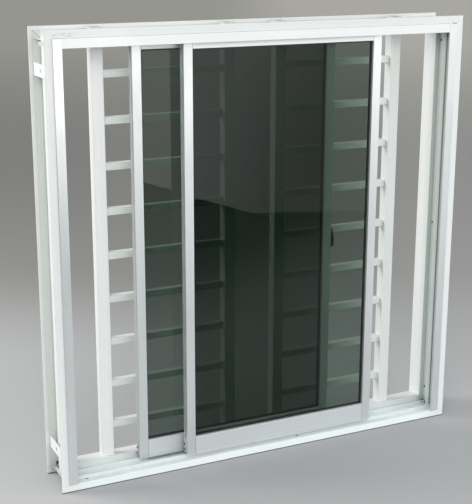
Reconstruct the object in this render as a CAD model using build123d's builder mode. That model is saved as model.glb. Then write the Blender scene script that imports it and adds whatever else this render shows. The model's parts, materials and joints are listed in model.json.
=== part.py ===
import os

from build123d import *

# Two-sash aluminium sliding window on a deep surround, with a ladder grille behind it.
# Millimetres. -Y faces the room, +X is right seen from the room, +Z is up.
# The origin is on the floor under the middle of the whole window.
# Depths are counted from the face of the front flange towards the back.

# Surround
width = 1205
height = 1200
depth = 134
sheet = 2.0            # wall of the frame profiles
sill_face = 22         # height of the sill's front flange, up to the track floor
upstand = 21           # wall behind the tracks, above the track floor
ledge_fall = 8.5       # slope of the outer sill, from the upstand to the back edge
jamb_reveal = 32       # outer edge to the inner face behind the tracks
head_reveal = 30
jamb_pocket = 19.5     # outer edge to the bottom of the sash pocket
head_pocket = 17
jamb_plate = 36.5      # width of the front plate that carries the stop
head_plate = 35
web_end = 15.5         # webs of sill and head end this far inside the flanges
hem_width = 10         # folded edge of the rear flange
hem_thick = 1.5

# Tracks
track_depth = 79       # front face to the wall behind the tracks
front_track = 25.5     # front face to the middle of the front track
track_pitch = 35.5
rail_height = 8.5
rail_thick = 3.0
jamb_fin = 14          # wall between the two sash pockets
head_fin = 23
fin_thick = 1.5

# Stops on the front plates
stop_width = 24
stop_thick = 3.0
stop_edge = 1.0        # rounding of the stop's front edges
jamb_stop_inset = 20   # outer edge to the stop
head_stop_inset = 21
stop_gap = 0.5         # end gap of the jamb stops

# Drain slots in the track floor, in front of the front rail
drain_first = 73.5     # left edge to the first slot
drain_pitch = 635
drain_count = 2
drain_length = 8
drain_width = 4
drain_depth = 17

# Anchors in the side channels
anchor_inset = 102     # from the top and the bottom
anchor_height = 32
anchor_set = 7         # outer edge to the anchor's face
anchor_leg = 9
anchor_bend = 114      # front face to the bend near the rear leg
anchor_slant = 9.5     # how far the rear leg lies inside the anchor's face
anchor_hole = 6.5
anchor_hole_depth = 62

# Grille
post_width = 31.75
post_depth = 31.75
post_wall = 1.5
post_edge = 2.0        # rounding of the tube's corners
post_front = 87        # front face to the front of the posts
post_end = 4           # posts stop this far inside the flange edges
outer_inset = 160.7    # outer edge to the middle of the outer posts
inner_post = 76        # middle of the window to the middle of the inner posts
bar_size = 19
bar_wall = 1.2
bar_edge = 1.5
bar_set = 10           # front of the posts to the front of the bars
bar_count = 9
first_bar = 126.3      # floor to the middle of the lowest bar
last_bar = 121.8       # top of the window to the middle of the highest bar

# Sashes
sash_width = 586
sash_depth = 24
sash_lift = 8          # sash edge above the track floor
sash_headroom = 11     # sash top below the pocket's roof
rail_clear = 5         # room round the track rail in the stiles' feet
stile_face = 25
bottom_rail_face = 52
top_rail_face = 32
sash_wall = 2.0
sash_edge = 1.0        # rounding of the members' long edges
groove_deep = 9
pile_width = 9
pile_deep = 3
glass_thick = 4
gasket_thick = 2
gasket_base = 1.5
gasket_lip = 4
front_sash_x = 54      # middle of each sash where the photo shows it
rear_sash_x = -71.5

# Rollers and latch
roller_radius = 8
roller_flange = 2
roller_groove = 5
roller_width = 9
roller_gap = 0.3
roller_inset = 90
axle_radius = 3
channel_height = 26
latch_height = 54
latch_reach = 14
latch_depth = 8
latch_base = 4         # thickness where the lever meets its plate
latch_grip = 26        # height of the straight grip at the lower end
latch_crown = 9        # reach of the upper end
latch_hole = 8         # finger hole above the grip
latch_hole_z = 36      # lower end to the middle of the hole
latch_plate = 2.0      # wall between the stile and the hole
latch_round = 1.5
latch_z = 589

middle = (depth - stop_thick) / 2
half = width / 2
track_floor = sill_face
upstand_top = track_floor + upstand
ledge_back = upstand_top - ledge_fall
tracks = (front_track, front_track + track_pitch)
fin_depth = front_track + track_pitch / 2
hem_front = depth - sheet - hem_thick
web_reach = half - web_end
outer_post = half - outer_inset
ledge_reach = half - jamb_reveal + sheet
bar_pitch = (height - first_bar - last_bar) / (bar_count - 1)
rail_top = track_floor + rail_height
sash_bottom = track_floor + sash_lift
sash_top = height - head_pocket - sash_headroom
groove_wide = glass_thick + 2 * gasket_thick

os.makedirs("parts", exist_ok=True)


def at(d):
    return d - middle


def save(piece, name):
    piece.part.label = name
    export_step(piece.part, f"parts/{name}.step")


def wall(u0, u1, v0, v1, mode=Mode.ADD):
    with Locations(((u0 + u1) / 2, (v0 + v1) / 2)):
        Rectangle(abs(u1 - u0), abs(v1 - v0), mode=mode)


def block(u0, u1, v0, v1, w0, w1, mode=Mode.ADD):
    with Locations(((u0 + u1) / 2, (v0 + v1) / 2, (w0 + w1) / 2)):
        Box(abs(u1 - u0), abs(v1 - v0), abs(w1 - w0), mode=mode)


def post_places():
    return [(sign * x, at(post_front + post_depth / 2))
            for sign in (-1, 1) for x in (outer_post, inner_post)]


# Room that the posts take, with the tube's rounded corners
with BuildPart() as post_space:
    with BuildSketch():
        with Locations(*post_places()):
            RectangleRounded(post_width, post_depth, post_edge)
    extrude(amount=height)

# The jambs' side of the mitres between head and jambs in the rear flange
with BuildPart() as mitre_space:
    for sign in (-1, 1):
        with BuildSketch(Plane.XZ.offset(-at(depth))):
            with BuildLine():
                Polyline(
                    (sign * half, height), (sign * half, height - head_reveal),
                    (sign * (half - jamb_reveal), height - head_reveal), close=True)
            make_face()
    extrude(amount=depth - hem_front)


# The sill's raised ledge ends at the jambs' rear webs, its base web runs on below
def cut_ledge_ends():
    for sign in (-1, 1):
        block(sign * ledge_reach, sign * half, at(track_depth), at(depth - sheet),
              track_floor, upstand_top, mode=Mode.SUBTRACT)


# The space under the sill's top surface and over the head's lower surface:
# the jambs are coped to both.
with BuildPart() as sill_space:
    with BuildSketch(Plane.YZ):
        wall(at(0), at(depth), 0, track_floor)
        for track in tracks:
            wall(at(track - rail_thick / 2), at(track + rail_thick / 2), 0, rail_top)
        with BuildLine():
            Polyline(
                (at(track_depth), 0), (at(depth), 0),
                (at(depth), ledge_back), (at(track_depth), upstand_top), close=True)
        make_face()
    extrude(amount=half, both=True)
    cut_ledge_ends()

with BuildPart() as head_space:
    with BuildSketch(Plane.YZ):
        wall(at(0), at(sheet), height - head_plate, height)
        wall(at(0), at(track_depth), height - head_pocket, height)
        wall(at(fin_depth - fin_thick / 2), at(fin_depth + fin_thick / 2),
             height - head_pocket - head_fin, height)
        wall(at(track_depth), at(depth), height - head_reveal, height)
    extrude(amount=half, both=True)
    add(mitre_space.part, mode=Mode.SUBTRACT)


def cut_web_ends(z0, z1):
    for sign in (-1, 1):
        block(sign * web_reach, sign * half, at(sheet), at(depth - sheet), z0, z1, mode=Mode.SUBTRACT)


# Sill: front flange, base web with the two rails, upstand, sloping ledge, rear flange
with BuildPart() as sill:
    with BuildSketch(Plane.YZ):
        wall(at(0), at(sheet), 0, track_floor)
        wall(at(0), at(depth), track_floor - sheet, track_floor)
        for track in tracks:
            wall(at(track - rail_thick / 2), at(track + rail_thick / 2), track_floor, rail_top)
        wall(at(track_depth), at(track_depth + sheet), track_floor, upstand_top - sheet)
        with BuildLine():
            Polyline(
                (at(track_depth), upstand_top), (at(depth), ledge_back),
                (at(depth), ledge_back - sheet), (at(track_depth), upstand_top - sheet), close=True)
        make_face()
        wall(at(depth - sheet), at(depth), 0, ledge_back)
        wall(at(hem_front), at(depth), 0, hem_width)
    extrude(amount=half, both=True)
    cut_web_ends(hem_width, upstand_top)
    cut_ledge_ends()
    add(post_space.part, mode=Mode.SUBTRACT)
    with BuildSketch(Plane.XY.offset(track_floor)):
        for i in range(drain_count):
            with Locations((drain_first + i * drain_pitch - half, at(drain_depth))):
                SlotOverall(drain_length, drain_width)
    extrude(amount=-sheet, mode=Mode.SUBTRACT)
save(sill, "sill")

# Head: front plate, pocket roof with a dividing fin, step, rear web, rear flange
with BuildPart() as head:
    with BuildSketch(Plane.YZ):
        roof = height - head_pocket
        wall(at(0), at(sheet), height - head_plate, height)
        wall(at(0), at(track_depth + sheet), roof, roof + sheet)
        wall(at(fin_depth - fin_thick / 2), at(fin_depth + fin_thick / 2), roof - head_fin, roof)
        wall(at(track_depth), at(track_depth + sheet), height - head_reveal, roof)
        wall(at(track_depth), at(depth), height - head_reveal, height - head_reveal + sheet)
        wall(at(depth - sheet), at(depth), height - head_reveal, height)
        wall(at(hem_front), at(depth), height - hem_width, height)
    extrude(amount=half, both=True)
    cut_web_ends(height - head_reveal, height - hem_width)
    add(mitre_space.part, mode=Mode.SUBTRACT)
    add(post_space.part, mode=Mode.SUBTRACT)
save(head, "head")


# Jambs: front plate, sash pockets with a dividing fin, step, rear web, rear flange
def make_jamb(sign):
    def across(u0, u1, d0, d1):
        wall(sign * (half - u0), sign * (half - u1), at(d0), at(d1))

    with BuildPart() as jamb:
        with BuildSketch():
            across(0, jamb_plate, 0, sheet)
            across(jamb_pocket - sheet, jamb_pocket, 0, track_depth + sheet)
            across(jamb_pocket, jamb_pocket + jamb_fin,
                   fin_depth - fin_thick / 2, fin_depth + fin_thick / 2)
            across(jamb_pocket - sheet, jamb_reveal, track_depth, track_depth + sheet)
            across(jamb_reveal - sheet, jamb_reveal, track_depth, depth)
            across(0, jamb_reveal, depth - sheet, depth)
            across(0, hem_width, hem_front, depth)
        extrude(amount=height)
        add(sill_space.part, mode=Mode.SUBTRACT)
        add(head_space.part, mode=Mode.SUBTRACT)
    return jamb


# Stops: flat bars on the front plates that keep the sashes in
def make_jamb_stop(sign):
    with BuildPart() as stop:
        x_out = half - jamb_stop_inset
        block(sign * (x_out - stop_width), sign * x_out, at(-stop_thick), at(0),
              track_floor + stop_gap, height - head_stop_inset - stop_gap)
        front = stop.faces().sort_by(Axis.Y)[0]
        fillet(front.edges().filter_by(Axis.Z), stop_edge)
    return stop


with BuildPart() as head_stop:
    reach = half - jamb_stop_inset - stop_width
    block(-reach, reach, at(-stop_thick), at(0),
          height - head_stop_inset - stop_width, height - head_stop_inset)
    front = head_stop.faces().sort_by(Axis.Y)[0]
    fillet(front.edges().filter_by(Axis.X), stop_edge)
save(head_stop, "head_stop")


# Anchors: bent straps across the outer channel, with a fixing hole in each
def make_anchors(sign):
    face = half - anchor_set
    rear = face - anchor_slant
    back = depth - sheet
    outline = (
        (face - anchor_leg, sheet), (face, sheet), (face, anchor_bend),
        (rear, back), (rear - anchor_leg, back), (rear - anchor_leg, back - sheet),
        (rear - sheet, back - sheet), (face - sheet, anchor_bend),
        (face - sheet, 2 * sheet), (face - anchor_leg, 2 * sheet))
    heights = (anchor_inset, height - anchor_inset)
    with BuildPart() as anchors:
        for z in heights:
            with BuildSketch(Plane.XY.offset(z - anchor_height / 2)):
                with BuildLine():
                    Polyline(*[(sign * x, at(d)) for x, d in outline], close=True)
                make_face()
        extrude(amount=anchor_height)
        for z in heights:
            with Locations(Location((sign * face, at(anchor_hole_depth), z), (0, 90, 0))):
                Cylinder(anchor_hole / 2, 3 * sheet, mode=Mode.SUBTRACT)
    return anchors


for side, sign in (("left", -1), ("right", 1)):
    save(make_jamb(sign), f"{side}_jamb")
    save(make_jamb_stop(sign), f"{side}_stop")
    save(make_anchors(sign), f"{side}_anchors")


# Grille: tubes that run through the head and the sill, with tube bars between them
def make_post(x):
    with BuildPart() as post:
        with BuildSketch(Plane.XY.offset(post_end)):
            with Locations((x, at(post_front + post_depth / 2))):
                RectangleRounded(post_width, post_depth, post_edge)
                Rectangle(post_width - 2 * post_wall, post_depth - 2 * post_wall, mode=Mode.SUBTRACT)
        extrude(amount=height - 2 * post_end)
    return post


def make_bar(sign, z):
    x0 = inner_post + post_width / 2
    x1 = outer_post - post_width / 2
    with BuildPart() as bar:
        with BuildSketch(Plane.YZ.offset(x0 if sign > 0 else -x1)):
            with Locations((at(post_front + bar_set + bar_size / 2), z)):
                RectangleRounded(bar_size, bar_size, bar_edge)
                Rectangle(bar_size - 2 * bar_wall, bar_size - 2 * bar_wall, mode=Mode.SUBTRACT)
        extrude(amount=x1 - x0)
    return bar


for side, sign in (("left", -1), ("right", 1)):
    save(make_post(sign * outer_post), f"{side}_outer_post")
    save(make_post(sign * inner_post), f"{side}_inner_post")
    for i in range(bar_count):
        save(make_bar(sign, first_bar + i * bar_pitch), f"{side}_bar_{i + 1}")


# Sash members: hollow profiles with a glazing groove
def make_stile(x, y, inward):
    chamber = stile_face - groove_deep - pile_deep - 2 * sash_wall
    with BuildPart() as stile:
        with BuildSketch(Plane.XY.offset(sash_bottom)):
            with Locations((x, y)):
                RectangleRounded(stile_face, sash_depth, sash_edge)
            with Locations((x + inward * (stile_face - groove_deep) / 2, y)):
                Rectangle(groove_deep, groove_wide, mode=Mode.SUBTRACT)
            with Locations((x - inward * (stile_face - pile_deep) / 2, y)):
                Rectangle(pile_deep, pile_width, mode=Mode.SUBTRACT)
            with Locations((x + inward * (pile_deep - groove_deep) / 2, y)):
                Rectangle(chamber, sash_depth - 2 * sash_wall, mode=Mode.SUBTRACT)
        extrude(amount=sash_top - sash_bottom)
        notch = rail_thick / 2 + rail_clear
        block(x - stile_face / 2, x + stile_face / 2, y - notch, y + notch,
              sash_bottom, rail_top + rail_clear, mode=Mode.SUBTRACT)
    return stile


def make_bottom_rail(x, y):
    top = sash_bottom + bottom_rail_face
    inside = sash_depth - 2 * sash_wall
    with BuildPart() as rail:
        with BuildSketch(Plane.YZ.offset(x - sash_width / 2 + stile_face)):
            with Locations((y, sash_bottom + bottom_rail_face / 2)):
                RectangleRounded(sash_depth, bottom_rail_face, sash_edge)
            wall(y - groove_wide / 2, y + groove_wide / 2, top - groove_deep, top, Mode.SUBTRACT)
            wall(y - inside / 2, y + inside / 2, sash_bottom, sash_bottom + channel_height, Mode.SUBTRACT)
            wall(y - inside / 2, y + inside / 2, sash_bottom + channel_height + sash_wall,
                 top - groove_deep - sash_wall, Mode.SUBTRACT)
        extrude(amount=sash_width - 2 * stile_face)
    return rail


def make_top_rail(x, y):
    foot = sash_top - top_rail_face
    inside = sash_depth - 2 * sash_wall
    with BuildPart() as rail:
        with BuildSketch(Plane.YZ.offset(x - sash_width / 2 + stile_face)):
            with Locations((y, foot + top_rail_face / 2)):
                RectangleRounded(sash_depth, top_rail_face, sash_edge)
            wall(y - groove_wide / 2, y + groove_wide / 2, foot, foot + groove_deep, Mode.SUBTRACT)
            wall(y - inside / 2, y + inside / 2, foot + groove_deep + sash_wall,
                 sash_top - sash_wall, Mode.SUBTRACT)
        extrude(amount=sash_width - 2 * stile_face)
    return rail


def glazing_edges(inset):
    wide = sash_width - 2 * (stile_face - groove_deep) - 2 * inset
    low = sash_bottom + bottom_rail_face - groove_deep + inset
    high = sash_top - top_rail_face + groove_deep - inset
    return wide, low, high


def glazing_slab(x, y, inset, thick, mode=Mode.ADD):
    wide, low, high = glazing_edges(inset)
    block(x - wide / 2, x + wide / 2, y - thick / 2, y + thick / 2, low, high, mode)


def make_glass(x, y):
    with BuildPart() as glass:
        glazing_slab(x, y, gasket_base, glass_thick)
    return glass


def make_gasket(x, y):
    with BuildPart() as gasket:
        glazing_slab(x, y, 0, groove_wide)
        glazing_slab(x, y, groove_deep + gasket_lip, groove_wide, Mode.SUBTRACT)
        glazing_slab(x, y, gasket_base, glass_thick, Mode.SUBTRACT)
    return gasket


# Flanged rollers on axles between the walls of the bottom rail
def make_rollers(x, y):
    axle_half = sash_depth / 2 - sash_wall
    rim = roller_radius + roller_flange
    centre_z = rail_top + roller_gap + roller_radius
    with BuildPart() as rollers:
        for sign in (-1, 1):
            centre = Plane((x + sign * (sash_width / 2 - roller_inset), y, centre_z),
                           x_dir=(0, 1, 0), z_dir=(1, 0, 0))
            with BuildSketch(centre):
                with BuildLine():
                    Polyline(
                        (-axle_half, 0), (-axle_half, axle_radius), (-roller_width / 2, axle_radius),
                        (-roller_width / 2, rim), (-roller_groove / 2, rim),
                        (-roller_groove / 2, roller_radius), (roller_groove / 2, roller_radius),
                        (roller_groove / 2, rim), (roller_width / 2, rim),
                        (roller_width / 2, axle_radius), (axle_half, axle_radius), (axle_half, 0),
                        close=True)
                make_face()
            revolve(axis=Axis(centre.origin, centre.x_dir))
    return rollers


# Latch: a finger lever on the outer side of the rear sash's right stile
def make_latch(x, y):
    low = latch_z - latch_height / 2
    with BuildPart() as latch:
        with BuildSketch(Plane.XZ.offset(-y - latch_depth / 2)):
            with BuildLine():
                Polyline(
                    (x, low), (x + latch_base, low), (x + latch_reach, low + latch_base),
                    (x + latch_reach, low + latch_grip), (x + latch_crown, low + latch_height),
                    (x, low + latch_height), close=True)
            make_face()
            with Locations((x + latch_plate + latch_hole / 2, low + latch_hole_z)):
                Circle(latch_hole / 2, mode=Mode.SUBTRACT)
        extrude(amount=latch_depth)
        outer = latch.edges().filter_by(Axis.Y).group_by(Axis.X)[1:]
        fillet([edge for group in outer for edge in group if edge.geom_type == GeomType.LINE], latch_round)
    return latch


for name, x, track in (("front", front_sash_x, tracks[0]), ("rear", rear_sash_x, tracks[1])):
    y = at(track)
    edge = (sash_width - stile_face) / 2
    save(make_stile(x - edge, y, 1), f"{name}_sash_left_stile")
    save(make_stile(x + edge, y, -1), f"{name}_sash_right_stile")
    save(make_bottom_rail(x, y), f"{name}_sash_bottom_rail")
    save(make_top_rail(x, y), f"{name}_sash_top_rail")
    save(make_glass(x, y), f"{name}_sash_glass")
    save(make_gasket(x, y), f"{name}_sash_gasket")
    save(make_rollers(x, y), f"{name}_sash_rollers")

save(make_latch(rear_sash_x + sash_width / 2, at(tracks[1])), "rear_sash_latch")
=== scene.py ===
import bpy
import json
import math
from mathutils import Matrix, Vector


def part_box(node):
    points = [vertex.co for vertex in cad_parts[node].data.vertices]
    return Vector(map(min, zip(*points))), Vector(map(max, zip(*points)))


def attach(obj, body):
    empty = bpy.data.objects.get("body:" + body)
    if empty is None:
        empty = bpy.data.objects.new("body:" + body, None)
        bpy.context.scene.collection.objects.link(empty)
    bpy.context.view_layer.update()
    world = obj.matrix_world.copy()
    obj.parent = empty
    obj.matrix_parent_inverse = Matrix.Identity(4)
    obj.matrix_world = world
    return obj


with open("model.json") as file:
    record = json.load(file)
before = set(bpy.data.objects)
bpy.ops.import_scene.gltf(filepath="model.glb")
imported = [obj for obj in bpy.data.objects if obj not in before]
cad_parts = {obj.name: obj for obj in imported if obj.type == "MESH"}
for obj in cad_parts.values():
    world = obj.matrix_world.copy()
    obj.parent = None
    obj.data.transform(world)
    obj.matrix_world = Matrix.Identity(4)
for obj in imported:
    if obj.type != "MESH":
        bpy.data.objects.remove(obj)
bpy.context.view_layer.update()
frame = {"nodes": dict(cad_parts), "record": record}        # bodies: frame, front_sash, rear_sash
nodes = frame["nodes"]
bpy.ops.object.select_all(action="DESELECT")
scene = bpy.context.scene
print("frame loaded:", len(nodes), "nodes")

# Camera, at the photo's viewing angle
cameraSet = {
    "place": (-1.3953, -2.7499, 1.4279),
    "turn": -25.787,      # degrees round Z
    "tilt": 15.520,       # degrees below level
    "roll": 0.115,
    "lens": 82.85,        # on a 36 mm side
}


def addCamera(cfg):
    turn = Matrix.Rotation(math.radians(cfg["turn"]), 4, "Z")
    tilt = Matrix.Rotation(math.radians(90 - cfg["tilt"]), 4, "X")
    roll = Matrix.Rotation(math.radians(cfg["roll"]), 4, "Z")
    pose = Matrix.Translation(cfg["place"]) @ turn @ tilt @ roll
    bpy.ops.object.camera_add(location=pose.translation, rotation=pose.to_euler())
    camera = bpy.context.object
    camera.name = "photoCamera"
    camera.data.lens = cfg["lens"]
    camera.data.sensor_width = 36.0
    camera.data.clip_end = 200.0
    scene.camera = camera
    bpy.ops.object.select_all(action="DESELECT")


addCamera(cameraSet)
print("camera placed")

# Shader helpers
def newGroup(name, inputs, outputs):
    group = bpy.data.node_groups.new(name, "ShaderNodeTree")
    for label, kind, value in inputs:
        socket = group.interface.new_socket(label, in_out="INPUT", socket_type=kind)
        if value is not None:
            socket.default_value = value
    for label, kind in outputs:
        group.interface.new_socket(label, in_out="OUTPUT", socket_type=kind)
    start = group.nodes.new("NodeGroupInput")
    end = group.nodes.new("NodeGroupOutput")
    return group, start, end


def addNode(tree, kind, **values):
    node = tree.nodes.new(kind)
    for key, value in values.items():
        setattr(node, key, value)
    return node


def mixColor(tree, blend, factor, colorA, colorB):
    mix = addNode(tree, "ShaderNodeMix", data_type="RGBA", blend_type=blend)
    for label, value in (("Factor", factor), ("A", colorA), ("B", colorB)):
        feed(tree, mix.inputs[label], value)
    return mix.outputs["Result"]


def feed(tree, socket, value):
    if isinstance(value, bpy.types.NodeSocket):
        tree.links.new(value, socket)
    else:
        socket.default_value = value


def mapRange(tree, value, low, high, toLow, toHigh):
    ramp = addNode(tree, "ShaderNodeMapRange", interpolation_type="SMOOTHSTEP")
    labels = ("Value", "From Min", "From Max", "To Min", "To Max")
    for label, entry in zip(labels, (value, low, high, toLow, toHigh)):
        feed(tree, ramp.inputs[label], entry)
    return ramp.outputs["Result"]


def noiseValue(tree, place, scale, detail, rough=0.5):
    noise = addNode(tree, "ShaderNodeTexNoise")
    tree.links.new(place, noise.inputs["Vector"])
    feed(tree, noise.inputs["Scale"], scale)
    noise.inputs["Detail"].default_value = detail
    noise.inputs["Roughness"].default_value = rough
    return noise.outputs["Fac"]


def math2(tree, operation, first, second):
    node = addNode(tree, "ShaderNodeMath", operation=operation)
    feed(tree, node.inputs[0], first)
    feed(tree, node.inputs[1], second)
    return node.outputs[0]


def times(tree, *factors):
    total = factors[0]
    for factor in factors[1:]:
        total = math2(tree, "MULTIPLY", total, factor)
    return total


def band(tree, value, low, high, soft):     # 1 between low and high, with soft ends
    rise = mapRange(tree, value, low - soft, low, 0.0, 1.0)
    fall = mapRange(tree, value, high, high + soft, 1.0, 0.0)
    return times(tree, rise, fall)


def ownPlace(tree):                         # the point's place on the object
    return addNode(tree, "ShaderNodeTexCoord").outputs["Object"]


def axesOf(tree, vector):
    axes = addNode(tree, "ShaderNodeSeparateXYZ")
    tree.links.new(vector, axes.inputs[0])
    return axes.outputs


def stretched(tree, place, scale):
    stretch = addNode(tree, "ShaderNodeMapping")
    tree.links.new(place, stretch.inputs["Vector"])
    stretch.inputs["Scale"].default_value = scale
    return stretch.outputs["Vector"]


# Studio: pale paper with painted shade behind the window and at its front end and painted light towards its
# right side, soft boxes and an even sky
studioSet = {
    "floorRadius": 60.0,
    "floorNear": (0.448, 0.455, 0.46, 1),
    "floorBehind": (0.298, 0.297, 0.285, 1),
    "floorFar": (0.545, 0.53, 0.475, 1),
    "floorDim": (0.03, 0.031, 0.033, 1),
    "heading": (0.435, 0.900),  # the paper runs away from the camera
    "behindAt": (0.53, 1.86),   # metres along it, from the near tone to the dark one
    "farAt": (2.4, 13.3),
    "dimAt": (-0.7, -1.6),      # the paper's front end, before the camera
    "rightAt": (-0.7, 1.3),     # across it, to the lighter side
    "rightPaintedLight": 1.32,
    "floorRough": 0.9,
    "floorShine": 0.2,
    "skyColor": (0.97, 0.985, 1.0, 1),
    "skyStrength": 0.55,
    "lights": {
        "topBox": {"place": (-2.0, -2.7, 2.4), "aim": (-0.1, 0.0, 0.9), "size": 1.8,
                   "power": 51, "color": (1.0, 0.99, 0.975)},
        "frontBox": {"place": (0.85, -2.75, 0.78), "aim": (-0.15, 0.0, 0.76), "size": 3.2, "height": 1.25,
                     "roll": -16.7,             # gives the slope of its lower edge in the panes
                     "fade": (0.50, 0.78, 0.3), "power": 28, "color": (0.98, 0.99, 1.0)},
        "rightBox": {"place": (5.6, -5.0, 2.6), "aim": (0.2, 0.0, 0.7), "size": 2.6,
                     "power": 82, "color": (0.98, 0.99, 1.0)},
        "grazeBox": {"place": (3.2, -1.6, 1.3), "aim": (0.3, 0.0, 0.75), "size": 0.8, "height": 1.6,
                     "power": 24, "color": (0.98, 0.99, 1.0)},
        "leftBox": {"place": (-2.9, 1.4, 2.0), "aim": (0.0, 0.0, 0.7), "size": 1.6,
                    "power": 80, "color": (1.0, 0.985, 0.95)},
    },
}


def addStudio(cfg):
    bpy.ops.mesh.primitive_circle_add(vertices=96, radius=cfg["floorRadius"], fill_type="NGON")
    floor = bpy.context.object
    floor.name = "studioFloor"
    floor.data.materials.append(floorPaper(cfg))
    for name, box in cfg["lights"].items():
        bpy.ops.object.light_add(type="AREA", location=box["place"])
        lamp = bpy.context.object
        lamp.name = name
        lamp.data.shape = "RECTANGLE"
        lamp.data.size = box["size"]
        lamp.data.size_y = box.get("height", box["size"])
        lamp.data.energy = box["power"]
        lamp.data.color = box["color"]
        lamp.visible_transmission = False       # the boxes don't show through the panes
        if "fade" in box:
            fadeLamp(lamp.data, *box["fade"])
        aim = Vector(box["aim"]) - Vector(box["place"])
        roll = Matrix.Rotation(math.radians(box.get("roll", 0.0)), 3, "Z")
        lamp.rotation_euler = (aim.to_track_quat("-Z", "Y").to_matrix() @ roll).to_euler()
    sky = bpy.data.worlds.new("studioSky")
    scene.world = sky
    sky.use_nodes = True
    back = sky.node_tree.nodes["Background"]
    back.inputs["Color"].default_value = cfg["skyColor"]
    back.inputs["Strength"].default_value = cfg["skyStrength"]
    scene.view_settings.view_transform = "Standard"
    bpy.ops.object.select_all(action="DESELECT")


def fadeLamp(lamp, start, stop, rest):     # the box grows dimmer towards one end
    lamp.use_nodes = True
    tree = lamp.node_tree
    axes = axesOf(tree, addNode(tree, "ShaderNodeNewGeometry").outputs["Parametric"])
    strength = mapRange(tree, axes["X"], start, stop, 1.0, rest)
    tree.links.new(strength, tree.nodes["Emission"].inputs["Strength"])


def floorPaper(cfg):
    paper = bpy.data.materials.new("floorPaper")
    paper.use_nodes = True
    skin = paper.node_tree.nodes["Principled BSDF"]
    tree = paper.node_tree
    axes = axesOf(tree, ownPlace(tree))
    east, north = cfg["heading"]
    along = math2(tree, "ADD", times(tree, axes["X"], east), times(tree, axes["Y"], north))
    across = math2(tree, "SUBTRACT", times(tree, axes["X"], north), times(tree, axes["Y"], east))
    # painted shade behind the window and at the paper's front end, painted light across it towards the right
    behind = mapRange(tree, along, *cfg["behindAt"], 0.0, 1.0)
    far = mapRange(tree, along, *cfg["farAt"], 0.0, 1.0)
    dim = mapRange(tree, along, *cfg["dimAt"], 0.0, 1.0)
    lift = mapRange(tree, across, *cfg["rightAt"], 1.0, cfg["rightPaintedLight"])
    lift = math2(tree, "ADD", 1.0, times(tree, behind, math2(tree, "SUBTRACT", lift, 1.0)))
    tone = mixColor(tree, "MIX", behind, cfg["floorNear"], cfg["floorBehind"])
    tone = mixColor(tree, "MIX", far, tone, cfg["floorFar"])
    tone = mixColor(tree, "MULTIPLY", dim, tone, cfg["floorDim"])
    grow = addNode(tree, "ShaderNodeVectorMath", operation="SCALE")
    tree.links.new(tone, grow.inputs[0])
    tree.links.new(lift, grow.inputs["Scale"])
    tree.links.new(grow.outputs[0], skin.inputs["Base Color"])
    skin.inputs["Roughness"].default_value = cfg["floorRough"]
    skin.inputs["Specular IOR Level"].default_value = cfg["floorShine"]
    return paper


addStudio(studioSet)
print("studio lit")


# Powder coat: faint mottling of the tint, orange-peel grain
paintSet = {
    "cloudScale": 5.0,
    "mottle": (0.35, 0.75),     # of the cloud, from the tint to the shade
    "rough": (0.34, 0.46),
    "peel": 700.0,
}


def powderCoatGroup(cfg):
    tree, start, end = newGroup(
        "powderCoat",
        [("Tint", "NodeSocketColor", None), ("Shade", "NodeSocketColor", None),
         ("Peel", "NodeSocketFloat", cfg["peel"])],
        [("Color", "NodeSocketColor"), ("Roughness", "NodeSocketFloat"), ("Height", "NodeSocketFloat")])
    place = ownPlace(tree)
    cloud = noiseValue(tree, place, cfg["cloudScale"], 3.0)
    mottle = mapRange(tree, cloud, *cfg["mottle"], 0.0, 1.0)
    color = mixColor(tree, "MIX", mottle, start.outputs["Tint"], start.outputs["Shade"])
    tree.links.new(color, end.inputs["Color"])
    peel = noiseValue(tree, place, start.outputs["Peel"], 2.0)
    tree.links.new(mapRange(tree, cloud, 0.3, 0.7, *cfg["rough"]), end.inputs["Roughness"])
    tree.links.new(peel, end.inputs["Height"])
    return tree


# Dust that settles on what faces up
dustSet = {
    "color": (0.52, 0.50, 0.45, 1),
    "faceUp": (0.35, 0.95),     # of the normal's height, from none to full
    "patchScale": 26.0,
    "patch": (0.38, 0.68),
    "least": 0.25,
}


def settledDustGroup(cfg):
    tree, start, end = newGroup(
        "settledDust",
        [("Color", "NodeSocketColor", None), ("Dust", "NodeSocketColor", None),
         ("Amount", "NodeSocketFloat", 0.3)],
        [("Color", "NodeSocketColor"), ("Mask", "NodeSocketFloat")])
    place = ownPlace(tree)
    normal = axesOf(tree, addNode(tree, "ShaderNodeNewGeometry").outputs["Normal"])
    upward = mapRange(tree, normal["Z"], *cfg["faceUp"], 0.0, 1.0)
    cloud = noiseValue(tree, place, cfg["patchScale"], 5.0, 0.62)
    patch = mapRange(tree, cloud, *cfg["patch"], cfg["least"], 1.0)
    mask = times(tree, upward, patch, start.outputs["Amount"])
    color = mixColor(tree, "MIX", mask, start.outputs["Color"], start.outputs["Dust"])
    tree.links.new(color, end.inputs["Color"])
    tree.links.new(mask, end.inputs["Mask"])
    return tree
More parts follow.
